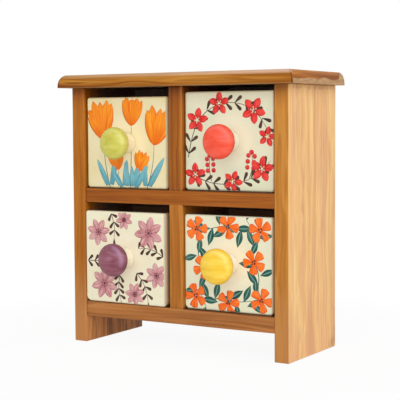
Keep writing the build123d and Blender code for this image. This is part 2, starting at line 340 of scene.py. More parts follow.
class Wood:
    """Stained and waxed softwood: growth rings, fibres along the grain and blotches of stain.

    Figure gives the ring pattern's scale along and across the grain and its number of rings, broad the paler
    tones of a broad outer face, which are painted sheen and light, and knot a knot's (depth, height) and
    radius.
    """

    def __init__(self, name, grain, tones, figure, shift=no_shift, broad=None, knot=None):
        self.material, self.tree, self.shader = new_material(name)
        tree = self.tree
        self.grain, self.shift = grain_axes[grain], shift
        self.light, self.middle, self.dark = tones
        self.coords = object_place(tree)
        self.place = parts(tree, self.coords)
        self.face = attribute(tree, "face") if broad else 0.0
        swaying = self.grained(self.coords, sway_scales, 1.0, 0.5, output="Color")
        amount = [broad_sway if broad else plain_sway] * 3
        self.swayed = node(tree, "ShaderNodeVectorMath", {0: swaying, 1: amount, 2: self.coords},
                           operation="MULTIPLY_ADD").outputs["Vector"]
        *ring_scales, ring_count = figure
        field = self.grained(self.swayed, ring_scales, 1.6, 0.42)
        if knot:
            heart = knot_heart(tree, self.coords, *knot)
            field = maths(tree, "ADD", field, product(tree, heart, knot_bend))
        self.rings = maths(tree, "FRACT", product(tree, field, ring_count))
        self.blotch = self.grained(self.swayed, blotch_scales, 3.0, 0.6)
        self.fibre = self.grained(self.swayed, fibre_scales, 3.0, 0.62, no_shift)
        self.smooth = span(tree, self.fibre, 0.2, 0.8, 0.52, 0.36)
        self.stain(broad)
        if knot:
            self.multiply(span(tree, heart, 0.62, 0.95, 0.0, 0.35), knot_stain)

    def grained(self, vector, scales, detail, roughness, shift=None, output="Fac"):
        """Noise drawn out along the grain, with the board's own shift unless another is given."""
        along, across = scales
        scale = [across] * 3
        scale[self.grain] = along
        drawn = mapped(self.tree, vector, location=shift or self.shift, scale=scale)
        return cloud(self.tree, drawn, 1.0, detail, roughness, output=output)

    def tint(self, share, colour):
        """Mix another colour in."""
        self.colour = mix(self.tree, share, self.colour, colour)

    def multiply(self, share, tone):
        """Multiply the colour by a tone."""
        self.colour = mix(self.tree, share, self.colour, (*tone, 1.0), "MULTIPLY")

    def stain(self, broad):
        """Rings evened out by stain, with dark and pale streaks, fine fibres and blotches."""
        tree = self.tree
        tones = (self.light, self.middle, self.dark)
        self.colour = ring_tones(tree, self.rings, tones)
        calm = span(tree, self.blotch, 0.30, 0.70, 0.30, 0.75)
        # Painted sheen and light: the broad outer face takes paler tones over the same wood
        if broad:
            *pale, rosy = broad
            self.tint(self.face, ring_tones(tree, self.rings, pale))
            self.light, self.middle, self.dark = (mix(tree, self.face, *pair) for pair in zip(tones, pale))
            soft = self.grained(self.swayed, drift_scales, 2.5, 0.55)
            drift = ramp(tree, soft, (0.36, 0.48, 0.66), (*pale[:2], rosy))
            self.tint(product(tree, self.face, 0.66), drift)
            calm = product(tree, calm, remainder(tree, product(tree, self.face, 0.7)))
        streak = self.grained(self.swayed, streak_scales, 3.0, 0.6)
        self.tint(calm, self.middle)
        self.tint(span(tree, streak, 0.46, 0.72, 0.0, 0.75), self.dark)
        self.tint(span(tree, streak, 0.26, 0.46, 0.65, 0.0), self.light)
        fibred = span(tree, self.fibre, 0.30, 0.68, 0.58, 1.0)
        self.colour = mix(tree, 0.34, self.colour, fibred, "MULTIPLY")
        self.multiply(span(tree, self.blotch, 0.50, 0.78, 0.0, 0.5), blotched)

    def smudge(self):
        """Broad face: drips under the top, smudges at the back of the foot and a blush low down."""
        tree, height = self.tree, self.place["Z"]
        dripped = span(tree, height, *drip_heights)
        rearward = span(tree, self.place["Y"], *smudge_depths)
        smudged = product(tree, fade(tree, height, *smudge_heights), rearward, 1.2)
        run = cloud(tree, mapped(tree, self.coords, location=self.shift, scale=drip_scales))
        spots = product(tree, maths(tree, "MAXIMUM", dripped, smudged), run)
        self.multiply(product(tree, span(tree, spots, 0.42, 0.60, 0.0, 0.6), self.face), smudge_stain)
        self.multiply(product(tree, span(tree, height, *blush_heights, 0.65, 0.0), self.face), foot_blush)

    def wear_foot(self, foot_tone):
        """Paler foot, except on the broad face."""
        tree = self.tree
        worn = fade(tree, self.place["Z"], *worn_heights, smooth=True)
        worn = product(tree, worn, remainder(tree, self.face))
        self.tint(product(tree, worn, 0.55), foot_tone)
        self.light = mix(tree, worn, self.light, foot_tone)

    def finish_inside(self):
        """Inner face: painted shade as a dull tone deeper behind the drawers, and rough with deep furrows
        below the bottom shelf.
        """
        tree, height, depth = self.tree, self.place["Z"], self.place["Y"]
        inner = fade(tree, maths(tree, "ABSOLUTE", self.place["X"]), *inner_skin)
        below = fade(tree, height, *rough_heights)
        above = maths(tree, "SUBTRACT", inner, below, clamp=True)
        self.tint(product(tree, above, span(tree, depth, *unlit_depths), 0.75), unlit_inside)
        rough = product(tree, inner, below, span(tree, depth, *rough_depths))
        furrows = span(tree, self.grained(self.swayed, furrow_scales, 3.0, 0.65), 0.40, 0.60)
        self.multiply(rough, raised_grain)
        self.multiply(product(tree, furrows, rough), furrow_stain)

    def shade_top(self):
        """Painted shade that darkens upwards under the top board, deepest in the corner beneath it."""
        tree, height = self.tree, self.place["Z"]
        shaded = span(tree, height, *shaded_heights, 0.0, 0.75, smooth=True)
        self.multiply(product(tree, shaded, remainder(tree, product(tree, self.face, 0.85))), top_shade)
        tucked = span(tree, height, *corner_heights, 0.0, 0.7)
        self.multiply(product(tree, tucked, remainder(tree, self.face)), corner_shade)

    def rub_and_light_edges(self):
        """Eased edges: worn pale with a painted highlight where they face the light, and painted shade where
        they turn away from it.
        """
        tree = self.tree
        edge = attribute(tree, "edge")
        # Painted shade on edges that turn away from the light
        self.multiply(maths(tree, "MULTIPLY", edge, -1.0, clamp=True), turned_edge_shade)
        patchy = span(tree, self.blotch, 0.30, 0.60, 0.25, 0.8)
        # Wear, and a painted highlight on edges that face the light
        self.tint(product(tree, maths(tree, "MAXIMUM", edge, 0.0), patchy), self.light)

    def shade_under_drawers(self, seat):
        """Painted shadow along the upper edge under the drawers, and none below the dividers."""
        tree = self.tree
        clear = maths(tree, "GREATER_THAN", maths(tree, "ABSOLUTE", self.place["X"]), divider_face)
        shadowed = span(tree, self.place["Z"], *(seat - drop for drop in drawer_shadow_drop), 0.0, 0.9)
        # Painted shadow under the drawers
        self.multiply(product(tree, shadowed, clear), drawer_shadow)

    def waxed(self, **others):
        """Satin wax over the colour; returns the material."""
        relief = maths(self.tree, "ADD", product(self.tree, self.rings, 0.35), self.fibre)
        others = {"Specular_IOR_Level": 0.2, "Normal": bump(self.tree, relief, 0.22, 0.2 * MM), **others}
        coat(self.tree, self.shader, self.colour, self.smooth, **others)
        return self.material


def side_wood(name, tones, figure, shift, foot_tone, knot=None):
    """Side: stained front and back edges, paler outer face painted as sheen and light, worn foot, and an
    inside darkened with painted shade.
    """
    side = Wood(name, "Z", tones, figure, shift, straw_and_sheen, knot)
    side.smudge()
    side.wear_foot(foot_tone)
    side.finish_inside()
    side.shade_top()
    side.rub_and_light_edges()
    return side.waxed()


def shelf_wood(shelf_name, tones, shift):
    """Shelf with its grain along the chest and painted shadow where the drawers slide."""
    shelf = Wood(f"{shelf_name}_wood", "X", tones, (3.0, 120.0, 6.0), shift)
    shelf.rub_and_light_edges()
    shelf.shade_under_drawers(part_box(shelf_name)[1].z)
    return shelf.waxed()


def divider_wood(name, tones, along, shift):
    """Divider with upright grain, shaded where it reaches the top board."""
    divider = Wood(name, "Z", tones, (along, 120.0, 6.0), shift)
    divider.shade_top()
    divider.rub_and_light_edges()
    return divider.waxed()


def panel_wood(name):
    """Plywood left plain at the back and darker on its face towards the drawers."""
    panel = Wood(name, "Z", plywood, (1.6, 46.0, 6.0))
    panel.rub_and_light_edges()
    panel.multiply(fade(panel.tree, panel.place["Y"], *panel_skin), panel_inner_darkening)
    return panel.waxed()


# Top board: sizes of its nosed ends, their mitres and their worn foot, and of its painted highlight and shade
mitre_fade = (1.2 * MM, 2.6 * MM)
nosing_fade = (5.8 * MM, 7.2 * MM)
worn_end_fade = (7.2 * MM, 8.4 * MM)
nosing_foot_heights = (top_low.z, top_low.z + 8.0 * MM)
underside_heights = (top_low.z, top_low.z + 0.2 * MM)
arris_heights = (top_high.z - 4.0 * MM, top_high.z - 1.8 * MM)
arris_depths = (5.0 * MM, 7.5 * MM)
arris_run = (top_low.x, top_high.x - 30.0 * MM)
seam_width = (0.3 * MM, 1.0 * MM)
seam_wander = 0.6 * MM
seam_heights = (top_low.z + 2.0 * MM, top_high.z)
rear_wear_depths = (top_high.y - 14.0 * MM, top_high.y)
rear_wear = 6.0 * MM
chewed_wear = 5.6 * MM
least_wear = top_low.z + 2.1 * MM
wear_line = (-0.2 * MM, 0.6 * MM)


class TopWood(Wood):
    """Top board with a bold figure and nosed ends that meet the front in mitres."""

    def __init__(self, name):
        super().__init__(name, "X", walnut, (5.0, 130.0, 5.0), (0.35, 0.1, 0.2))
        tree = self.tree
        self.end_reach = maths(tree, "SUBTRACT", top_high.x, maths(tree, "ABSOLUTE", self.place["X"]))
        self.front_reach = maths(tree, "SUBTRACT", self.place["Y"], top_low.y)
        self.past_mitre = maths(tree, "SUBTRACT", self.front_reach, self.end_reach)
        self.on_end = span(tree, self.past_mitre, *mitre_fade)
        self.near_edge = fade(tree, self.end_reach, *nosing_fade)
        self.chewed = cloud(tree, mapped(tree, self.coords, scale=(16.0, 46.0, 16.0)), 1.0, 1.0, 0.4)

    def round_ends(self):
        """Nosed ends with their own figure, painted shade that darkens the whole board towards its lower
        edge, and the bare underside.
        """
        tree, height = self.tree, self.place["Z"]
        turned = mapped(tree, self.coords, location=(0.2, 0.6, 0.1), scale=(170.0, 14.0, 170.0))
        nosing = ramp(tree, cloud(tree, turned), (0.30, 0.50, 0.70), nosing_tones)
        self.tint(product(tree, self.on_end, self.near_edge), nosing)
        # Painted shade towards the board's lower edge
        self.multiply(fade(tree, height, *nosing_foot_heights), lower_edge_shade)
        self.tint(fade(tree, height, *underside_heights), bare_underside)

    def paint_arris_highlight(self):
        """Painted highlight on the upper front edge, stronger towards the right."""
        tree = self.tree
        arris = span(tree, self.place["Z"], *arris_heights, smooth=True)
        in_front = fade(tree, self.front_reach, *arris_depths)
        rightward = span(tree, self.place["X"], *arris_run, 0.35, 0.75)
        arris_highlight_share = product(tree, arris, in_front, rightward, remainder(tree, self.on_end))
        # Painted highlight on the upper front edge
        self.tint(arris_highlight_share, mix(tree, rightward, left_arris_highlight, right_arris_highlight))

    def join_mitres(self):
        """Dark line at each mitre, fainter where it is filled above."""
        tree = self.tree
        wandering = maths(tree, "ADD", self.past_mitre, product(tree, self.chewed, seam_wander))
        seam = span(tree, maths(tree, "ABSOLUTE", wandering), *seam_width, 0.85, 0.0)
        filled = span(tree, self.place["Z"], *seam_heights, 1.0, 0.45)
        self.tint(product(tree, seam, self.near_edge, filled), mitre_line)

    def wear_ends(self):
        """Bare end grain along the foot of each end, up to a chewed line that rises at the back."""
        tree = self.tree
        rear = span(tree, self.place["Y"], *rear_wear_depths, 0.0, rear_wear, smooth=True)
        line = maths(tree, "ADD", rear, product(tree, self.chewed, chewed_wear))
        line = maths(tree, "ADD", line, least_wear)
        under_line = span(tree, maths(tree, "SUBTRACT", line, self.place["Z"]), *wear_line)
        bare = product(tree, under_line, self.on_end, fade(tree, self.end_reach, *worn_end_fade))
        fine = cloud(tree, mapped(tree, self.coords, scale=(260.0, 130.0, 420.0)), 1.0, 3.0, 0.6)
        self.tint(bare, ramp(tree, fine, (0.30, 0.55, 0.75), end_grain_tones))
        self.smooth = span(tree, bare, 0.0, 1.0, self.smooth, 0.75)


def top_wood(name):
    """Glossy top board."""
    top = TopWood(name)
    top.round_ends()
    top.paint_arris_highlight()
    top.join_mitres()
    top.wear_ends()
    return top.waxed(Specular_IOR_Level=0.06, Coat_Weight=0.12, Coat_Roughness=0.2)


# Boards
wave_height = 0.10 * MM
wave_pitch = 28.0
loop_spacing = 14.0 * MM
edge_band = 2.6 * MM
joint_cover = 0.55 * MM
skin = 0.2 * MM
flat_normal = 0.99
facing = 0.3


class Board(NamedTuple):
    """A board's finish, slot and edge rounding, and the axis along which its ends butt, if they do."""

    finish: bpy.types.Material
    slot: str
    rounding: float
    run: int = None


boards = {
    "left_side": Board(
        side_wood("left_side_wood", honey, (3.0, 105.0, 7.0), (0.1, 0.4, 0.0), left_foot_tone),
        "side_wood", 0.8 * MM),
    "right_side": Board(
        side_wood("right_side_wood", gold, (3.0, 80.0, 7.0), (0.7, 0.2, 0.0), right_foot_tone, side_knot),
        "side_wood", 0.8 * MM),
    "bottom_shelf": Board(shelf_wood("bottom_shelf", tan, (0.8, 0.2, 0.9)), "rail_wood", 0.7 * MM, 0),
    "middle_shelf": Board(shelf_wood("middle_shelf", russet, (0.6, 0.3, 0.1)), "rail_wood", 0.7 * MM, 0),
    "upper_divider": Board(
        divider_wood("upper_divider_wood", chestnut, 4.0, (0.5, 0.1, 0.3)), "divider_wood", 0.8 * MM, 2),
    "lower_divider": Board(
        divider_wood("lower_divider_wood", amber, 3.0, (0.9, 0.2, 0.6)), "divider_wood", 0.8 * MM, 2),
    "back_panel": Board(panel_wood("back_panel_wood"), "back_ply", 0.4 * MM),
}


def uneven(point):
    """Small hand-planed unevenness, the same for boards that meet."""
    return noise.noise_vector(point * wave_pitch) * wave_height


def cut_loops(shape, axis, low, high):
    """Loops across a board: one close to each end and evenly spaced ones between."""
    normal = Vector((axis == 0, axis == 1, axis == 2))
    count = max(1, round((high - low) / loop_spacing))
    places = [low + edge_band, high - edge_band]
    places += [low + (high - low) * step / count for step in range(1, count)]
    for place in places:
        cut(shape, normal, place)


def box_board(board_name):
    """Corners and faces of a plain board, longer along its run so that its ends cover the joints."""
    low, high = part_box(board_name)
    run = boards[board_name].run
    if run is not None:
        low[run] -= joint_cover
        high[run] += joint_cover
    corners = [(x, y, z) for x in (low.x, high.x) for y in (low.y, high.y) for z in (low.z, high.z)]
    faces = [(0, 1, 3, 2), (4, 6, 7, 5), (0, 4, 5, 1), (2, 3, 7, 6), (0, 2, 6, 4), (1, 5, 7, 3)]
    return corners, faces


def side_board(board_name):
    """Corners and faces of a side, with the rabbet for the back panel stopped above the foot."""
    low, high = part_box(board_name)
    outer, inner, cheek = high.x, shelf_high.x, panel_high.x
    if board_name == "left_side":
        outer, inner, cheek = low.x, shelf_low.x, panel_low.x
    front, step, back = low.y, panel_low.y, high.y
    foot, shoulder, top = low.z, panel_low.z, high.z
    corners = [
        (outer, front, foot), (inner, front, foot), (inner, back, foot), (outer, back, foot),
        (outer, front, top), (inner, front, top), (inner, step, top), (cheek, step, top),
        (cheek, back, top), (outer, back, top),
        (inner, step, shoulder), (inner, back, shoulder), (cheek, step, shoulder), (cheek, back, shoulder),
    ]
    faces = [
        (0, 1, 2, 3), (4, 5, 6, 7, 8, 9), (0, 1, 5, 4), (0, 3, 9, 4), (1, 2, 11, 10, 6, 5),
        (2, 3, 9, 8, 13, 11), (10, 11, 13, 12), (10, 12, 7, 6), (12, 13, 8, 7),
    ]
    return corners, faces


def edge_wear_and_light(corner):
    """Wear and painted light at a corner of an eased edge: 1 where it faces the light, worn pale with a
    painted highlight, 0.4 for wear elsewhere, -1 for painted shade where it turns away from the light.
    """
    if all(max(map(abs, face.normal)) >= flat_normal for face in corner.link_faces):
        return 0.0
    lean = corner.normal.x if corner.normal.y < -facing else 0.0
    if lean > facing:
        return -0.1 if corner.co.x < shelf_low.x + skin else 1.0
    return -1.0 if lean < -facing else 0.4


def plank(name, corners, faces, rounding, run):
    """Board with the attributes of its finish and eased edges, only those along its run if it has one."""
    shape = bmesh.new()
    placed = [shape.verts.new(corner) for corner in corners]
    for face in faces:
        shape.faces.new([placed[index] for index in face])
    bmesh.ops.recalc_face_normals(shape, faces=shape.faces)
    proud = [edge for edge in shape.edges if edge.is_convex]
    if run is not None:
        proud = [edge for edge in proud if edge.verts[0].co[run] != edge.verts[1].co[run]]
    bmesh.ops.bevel(shape, geom=proud, offset=rounding, segments=3, profile=0.5,
                    affect="EDGES", clamp_overlap=True)
    edge_layer = shape.verts.layers.float.new("edge")
    face_layer = shape.verts.layers.float.new("face")
    for axis in range(3):
        spread = [corner.co[axis] for corner in shape.verts]
        cut_loops(shape, axis, min(spread), max(spread))
    shape.normal_update()
    for corner in shape.verts:
        corner[edge_layer] = edge_wear_and_light(corner)
        corner[face_layer] = float(abs(corner.co.x) > broad_face - skin)
    for corner in shape.verts:
        corner.co += uneven(corner.co)
        corner.co.z = max(corner.co.z, 0.0)
    return smooth_piece(name, shape)


def build_boards():
    """Eased boards in place of the plain ones; the top board keeps its own shape."""
    for board_name, board in boards.items():
        shaped = side_board if board_name.endswith("_side") else box_board
        piece = plank(f"{board_name}_board", *shaped(board_name), board.rounding, board.run)
        piece.data.materials.append(board.finish)
        attach(piece, "carcass", board_name)
    dress("top_board", top_wood("top_board_wood"))


# Drawers
class Drawer(NamedTuple):
    """A drawer's material names and tones.

    The glaze has body, cloudy, thin and pale tones, the pale one painted light round the knob and on its
    neck, and the knob deep, body, light and sheen ones, the sheen a painted one. Then come the width of the
    painted shade band at the right edge and the share of colour that pools behind the knob's rim.
    """

    glaze: str
    glaze_tones: tuple
    knob: str
    knob_tones: tuple
    right_band: float
    pooling: float


drawers = {
    "upper_left": Drawer(
        "glaze_cream", colours((233, 218, 166), (236, 223, 179), (228, 210, 148), (255, 240, 194)),
        "knob_lime", colours((186, 176, 60), (206, 200, 88), (220, 216, 132), (226, 224, 140)),
        right_band=3.2 * MM, pooling=0.08),
    "upper_right": Drawer(
        "glaze_mint", colours((224, 223, 190), (230, 225, 196), (208, 220, 192), (246, 242, 212)),
        "knob_coral", colours((225, 59, 40), (243, 85, 60), (248, 108, 88), (250, 128, 120)),
        right_band=1.4 * MM, pooling=0.6),
    "lower_left": Drawer(
        "glaze_ivory", colours((243, 234, 202), (238, 234, 204), (236, 224, 186), (255, 245, 216)),
        "knob_plum", colours((112, 50, 65), (146, 87, 101), (172, 124, 145), (178, 146, 180)),
        right_band=3.4 * MM, pooling=0.75),
    "lower_right": Drawer(
        "glaze_celadon", colours((229, 228, 196), (235, 229, 200), (215, 223, 193), (255, 245, 216)),
        "knob_yellow", colours((236, 176, 28), (250, 208, 66), (253, 226, 120), (254, 234, 140)),
        right_band=2.4 * MM, pooling=0.3),
}
clay_tones = colours((112, 74, 50), (136, 94, 66), (154, 112, 82))
edge_shade = srgb(158, 124, 88)
pooled_share = (0.75, 0.7, 0.75, 1.0)
glow_reach = (12.0 * MM, 30.0 * MM)
edge_shade_start = 0.8 * MM
edge_shade_wander = 0.8 * MM
glaze_depths = (4.2 * MM, 5.6 * MM)
glaze_wander = -1.2 * MM


def front_glaze(name):
    """Glossy mottled glaze, painted pale round the knob as a glow of light and painted with a shade band at
    the right edge; bare clay behind the front.
    """
    drawer = drawers[name]
    body, cloudy, thin, pale = drawer.glaze_tones
    low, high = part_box(f"{name}_drawer")
    knob_low, knob_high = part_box(f"{name}_knob")
    centre = (knob_low + knob_high) / 2
    material, tree, shader = new_material(drawer.glaze)
    coords = object_place(tree)
    place = parts(tree, coords)
    pooled = cloud(tree, coords, 34.0, 3.0, 0.55, 0.6)
    fine = cloud(tree, coords, 900.0, 2.0, 0.6)
    wash = cloud(tree, mapped(tree, coords, location=(0.3, 0.0, 0.2)), 58.0, 3.0, 0.6, 1.0)
    colour = mix(tree, span(tree, pooled, 0.38, 0.64), body, cloudy)
    colour = mix(tree, span(tree, wash, 0.52, 0.74, 0.0, 0.6), colour, thin)
    colour = mix(tree, span(tree, fine, 0.70, 0.78, 0.0, 0.4), colour, thin)
    # Painted light: a pale glow round the knob
    spread = mapped(tree, coords, location=(-centre.x, 0.0, -centre.z), scale=(1.0, 0.0, 1.0))
    painted_glow = span(tree, vector_length(tree, spread), *glow_reach, 0.95, 0.0, smooth=True)
    colour = mix(tree, painted_glow, colour, pale)
    # Painted shade: a band along the right edge
    right_reach = maths(tree, "SUBTRACT", high.x, place["X"])
    wandering = maths(tree, "ADD", right_reach, product(tree, wash, edge_shade_wander))
    edge_shaded = span(tree, wandering, edge_shade_start, edge_shade_start + drawer.right_band, 0.85, 0.0, smooth=True)
    colour = mix(tree, edge_shaded, colour, edge_shade)
    depth = maths(tree, "SUBTRACT", place["Y"], low.y)
    ragged = maths(tree, "ADD", depth, product(tree, wash, glaze_wander))
    bare = span(tree, ragged, *glaze_depths, smooth=True)
    clay = ramp(tree, fine, (0.30, 0.55, 0.72), clay_tones)
    gloss = span(tree, pooled, 0.3, 0.7, 0.12, 0.22)
    swell = cloud(tree, coords, 75.0, 2.0, 0.5)
    coat(tree, shader, mix(tree, bare, colour, clay), span(tree, bare, 0.0, 1.0, gloss, 0.8),
         Specular_IOR_Level=0.5, Normal=bump(tree, swell, 0.12, 0.9 * MM))
    return material


def knob_glaze(drawer):
    """Brushed colour on the ball, with a painted sheen round its upper right rim and painted light on its
    underside, and the drawer's pale glaze tone below.
    """
    deep, body, light, sheen = drawer.knob_tones
    neck = drawer.glaze_tones[-1]
    pooled_tone = tuple(value * share for value, share in zip(deep, pooled_share))
    material, tree, shader = new_material(f"{drawer.knob}_glaze")
    coords = object_place(tree)
    along = attribute(tree, "along")
    brushed = mapped(tree, coords, rotation=(0.0, 0.6, 0.2), scale=(60.0, 60.0, 190.0))
    strokes = cloud(tree, brushed, 1.0, 2.0, 0.5, 0.5)
    pooled = cloud(tree, coords, 95.0, 2.0, 0.5)
    colour = ramp(tree, strokes, (0.22, 0.50, 0.80), (deep, body, light))
    colour = mix(tree, span(tree, pooled, 0.36, 0.66, 0.0, 0.55), colour, body)
    # Painted light: the ball's underside is lightened towards the face
    colour = mix(tree, span(tree, along, 0.68, 0.80, 0.8 * (1 - drawer.pooling), 0.0), colour, light)
    colour = mix(tree, span(tree, along, 0.70, 0.76, drawer.pooling, 0.0), colour, pooled_tone)
    # Painted sheen round the upper right rim, turned towards the light
    rim = product(tree, span(tree, along, 0.83, 0.87), fade(tree, along, 0.90, 0.94))
    upward = product(tree, attribute(tree, "upward"), maths(tree, "ADD", pooled, 0.5))
    colour = mix(tree, product(tree, rim, span(tree, upward, 0.64, 1.0, 0.0, 0.5)), colour, sheen)
    dipped = maths(tree, "ADD", along, product(tree, pooled, 0.05))
    colour = mix(tree, span(tree, dipped, 0.48, 0.51), neck, colour)
    coat(tree, shader, colour, span(tree, strokes, 0.3, 0.7, 0.20, 0.30),
         Specular_IOR_Level=0.24, Normal=bump(tree, strokes, 0.08, 0.6 * MM))
    return material


def plated_steel(name, tone, dull):
    """Zinc-plated steel with fine turning marks and dull patches."""
    material, tree, shader = new_material(name)
    coords = object_place(tree)
    turned = cloud(tree, mapped(tree, coords, scale=(400.0, 2500.0, 400.0)))
    patches = cloud(tree, coords, 300.0, 3.0, 0.6)
    coat(tree, shader, mix(tree, patches, tone, dull), span(tree, patches, 0.3, 0.7, 0.28, 0.48),
         Metallic=1.0, Normal=bump(tree, turned, 0.2, 0.1 * MM))
    return material


# Knobs
knob_segments = 96
knob_thickness = 14.6 * MM
rim_radius = 5.2 * MM
neck_radius = 6.8 * MM
base_radius = 9.3 * MM
flare_length = 6.0 * MM
neck_length = 10.4 * MM
collar_share = 0.3
wobble_height = 0.12 * MM
wobble_pitch = 60.0
light_angle = math.pi / 4


def arc(centre, radius, first, last, steps):
    """Points on an arc after its first one; angles are from the first axis of the section."""
    points = []
    for step in range(1, steps + 1):
        angle = first + (last - first) * step / steps
        points.append(Vector(centre) + Vector((math.cos(angle), math.sin(angle))) * radius)
    return points


def knob_profile(radius, length):
    """Half section of a knob as (radius, distance from the drawer's face)."""
    middle = length - knob_thickness / 2
    spread = base_radius - neck_radius
    flare = (spread**2 + flare_length**2) / (2 * spread)
    start = -math.pi + math.asin(flare_length / flare)
    profile = [Vector((base_radius, 0.0))]
    profile += arc((neck_radius + flare, flare_length), flare, start, -math.pi, 8)
    profile += [Vector((neck_radius, flare_length + (neck_length - flare_length) * share / 3))
                for share in (1, 2, 3)]
    width, rise = radius - neck_radius, middle - neck_length
    both = (width**2 + rise**2) / (2 * width)
    turn = 2 * math.atan2(width, rise)
    hollow, under = collar_share * both, (1 - collar_share) * both
    profile += arc((neck_radius + hollow, neck_length), hollow, math.pi, math.pi - turn, 6)
    profile += arc((radius - under, middle), under, -turn, 0.0, 12)
    rim_centre = radius - rim_radius
    half = knob_thickness / 2
    crown = (rim_centre**2 + half**2 - rim_radius**2) / (2 * (half - rim_radius))
    lean = math.atan2(rim_centre, crown - half)
    profile += arc((rim_centre, middle), rim_radius, 0.0, math.pi / 2 - lean, 10)
    profile += arc((0.0, length - crown), crown, math.pi / 2 - lean, math.pi / 2, 10)
    return profile


def turned_knob(name, node_name):
    """Lathed knob with a slight hand-made wobble, in place of the plain one."""
    low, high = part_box(node_name)
    centre = (low + high) / 2
    knob_length = high.y - low.y
    shape = bmesh.new()
    along = shape.verts.layers.float.new("along")
    upward = shape.verts.layers.float.new("upward")
    rows = []
    for radius, distance in knob_profile((high.x - low.x) / 2, knob_length)[:-1]:
        row = []
        for step in range(knob_segments):
            angle = 2 * math.pi * step / knob_segments
            place = Vector((
                centre.x + radius * math.cos(angle),
                high.y - distance,
                centre.z + radius * math.sin(angle),
            ))
            if distance > 0:
                place += noise.noise_vector(place * wobble_pitch) * wobble_height
            corner = shape.verts.new(place)
            corner[along] = distance / knob_length
            corner[upward] = 0.5 + 0.5 * math.cos(angle - light_angle)
            row.append(corner)
        rows.append(row)
    tip = shape.verts.new((centre.x, low.y, centre.z))
    tip[along] = 1.0
    tip[upward] = 0.5
    heel = shape.verts.new((centre.x, high.y, centre.z))
    for first, second in zip(rows, rows[1:]):
        for step in range(knob_segments):
            after = (step + 1) % knob_segments
            shape.faces.new((first[step], first[after], second[after], second[step]))
    for step in range(knob_segments):
        after = (step + 1) % knob_segments
        shape.faces.new((rows[-1][step], rows[-1][after], tip))
        shape.faces.new((rows[0][after], rows[0][step], heel))
    bmesh.ops.recalc_face_normals(shape, faces=shape.faces)
    return smooth_piece(name, shape)


def finish_drawers():
    """Glazes, turned knobs and plated fixings of all four drawers, and the carcass's pins and dowels."""
    zinc = plated_steel("zinc_plating", *colours((196, 196, 190), (150, 150, 146)))
    pins = plated_steel("pin_steel_finish", *colours((150, 148, 142), (104, 98, 90)))
    dowel = Wood("dowel_wood_finish", "Z", straw_and_sheen[:3], (6.0, 160.0, 5.0)).waxed()
    for name, drawer in drawers.items():
        dress(f"{name}_drawer", front_glaze(name))
        knob = turned_knob(f"{name}_turned_knob", f"{name}_knob")
        knob.data.materials.append(knob_glaze(drawer))
        attach(knob, f"{name}_tray", f"{name}_knob")
        for fixing in ("stud", "washer", "nut"):
            dress(f"{name}_knob_{fixing}", zinc)
    dress("back_panel_pins", pins)
    for node_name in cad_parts:
        if node_name.endswith("_dowels"):
            dress(node_name, dowel)


# Painted fronts: brush marks laid by a node tree, then wrapped onto each drawer's face
mark_rows = 9
mark_columns = 4
mark_depth = 0.6
paint_relief = 0.14 * MM
line_relief = 0.25
line_points = 36
mark_wobble = 0.06
first_seed = 11
mark_outlines = {
    "petal": lambda t: 0.05 + 0.95 * math.sin(math.pi * t**0.75) ** 0.75 * (0.55 + 0.45 * t),
    "leaf": lambda t: 0.03 + 0.97 * math.sin(math.pi * t) ** 1.15,
    "strap": lambda t: 0.10 + 0.90 * math.sin(math.pi * min(1.0, t * 0.9 + 0.12)) ** 0.6,
    "drop": lambda t: 0.06 + 0.94 * t**0.8 * math.sqrt(max(0.0, 1 - t**7)),
    "dot": lambda t: 0.06 + 0.94 * math.sqrt(max(0.0, 1 - (2 * t - 1) ** 2)),
}


def mark_object(kind):
    """One closed brush mark: one unit long and wide, domed on top and flat below."""
    outline = mark_outlines[kind]
    shape = bmesh.new()
    uv = shape.loops.layers.uv.new("UVMap")
    place = {}
    top = []
    for row in range(mark_rows + 1):
        along = row / mark_rows
        line = []
        for column in range(mark_columns + 1):
            across = 2 * column / mark_columns - 1
            rise = 0.35 + 0.65 * (1 - across**2) * math.sin(math.pi * (0.1 + 0.8 * along))
            corner = shape.verts.new((across * outline(along) / 2, along, rise))
            place[corner] = ((across + 1) / 2, along)
            line.append(corner)
        top.append(line)
    for lower, upper in zip(top, top[1:]):
        for column in range(mark_columns):
            shape.faces.new((lower[column], lower[column + 1], upper[column + 1], upper[column]))
    rim = top[0] + [line[-1] for line in top[1:]] + top[-1][-2::-1] + [line[0] for line in top[-2:0:-1]]
    under = []
    for corner in rim:
        low = shape.verts.new((corner.co.x, corner.co.y, -mark_depth))
        place[low] = place[corner]
        under.append(low)
    for step in range(len(rim)):
        after = (step + 1) % len(rim)
        shape.faces.new((rim[after], rim[step], under[step], under[after]))
    shape.faces.new(under[::-1])
    for face in shape.faces:
        for loop in face.loops:
            loop[uv].uv = place[loop.vert]
    bmesh.ops.recalc_face_normals(shape, faces=shape.faces)
    return smooth_piece(f"{kind}_mark", shape)


def open_tree(name, inputs):
    """Geometry node tree with named inputs; returns it, their identifiers and their sockets."""
    tree = bpy.data.node_groups.new(name, "GeometryNodeTree")
    keys = {}
    for label, kind in inputs.items():
        made = tree.interface.new_socket(label, in_out="INPUT", socket_type=f"NodeSocket{kind}")
        keys[label] = made.identifier
    tree.interface.new_socket("Painted", in_out="OUTPUT", socket_type="NodeSocketGeometry")
    return tree, keys, node(tree, "NodeGroupInput").outputs


def close_tree(tree, geometry, material):
    """Paint the geometry and hand it out."""
    painted = node(tree, "GeometryNodeSetMaterial", {"Geometry": geometry, "Material": material})
    node(tree, "NodeGroupOutput", {0: painted.outputs["Geometry"]})


def point_value(tree, name, kind):
    """Value that a point brings along."""
    found = node(tree, "GeometryNodeInputNamedAttribute", {"Name": name}, data_type=kind)
    return found.outputs["Attribute"]


def chance(tree, least, most, seed):
    """Random value for each point."""
    values = {2: least, 3: most, "Seed": seed}
    return node(tree, "FunctionNodeRandomValue", values, data_type="FLOAT").outputs[1]


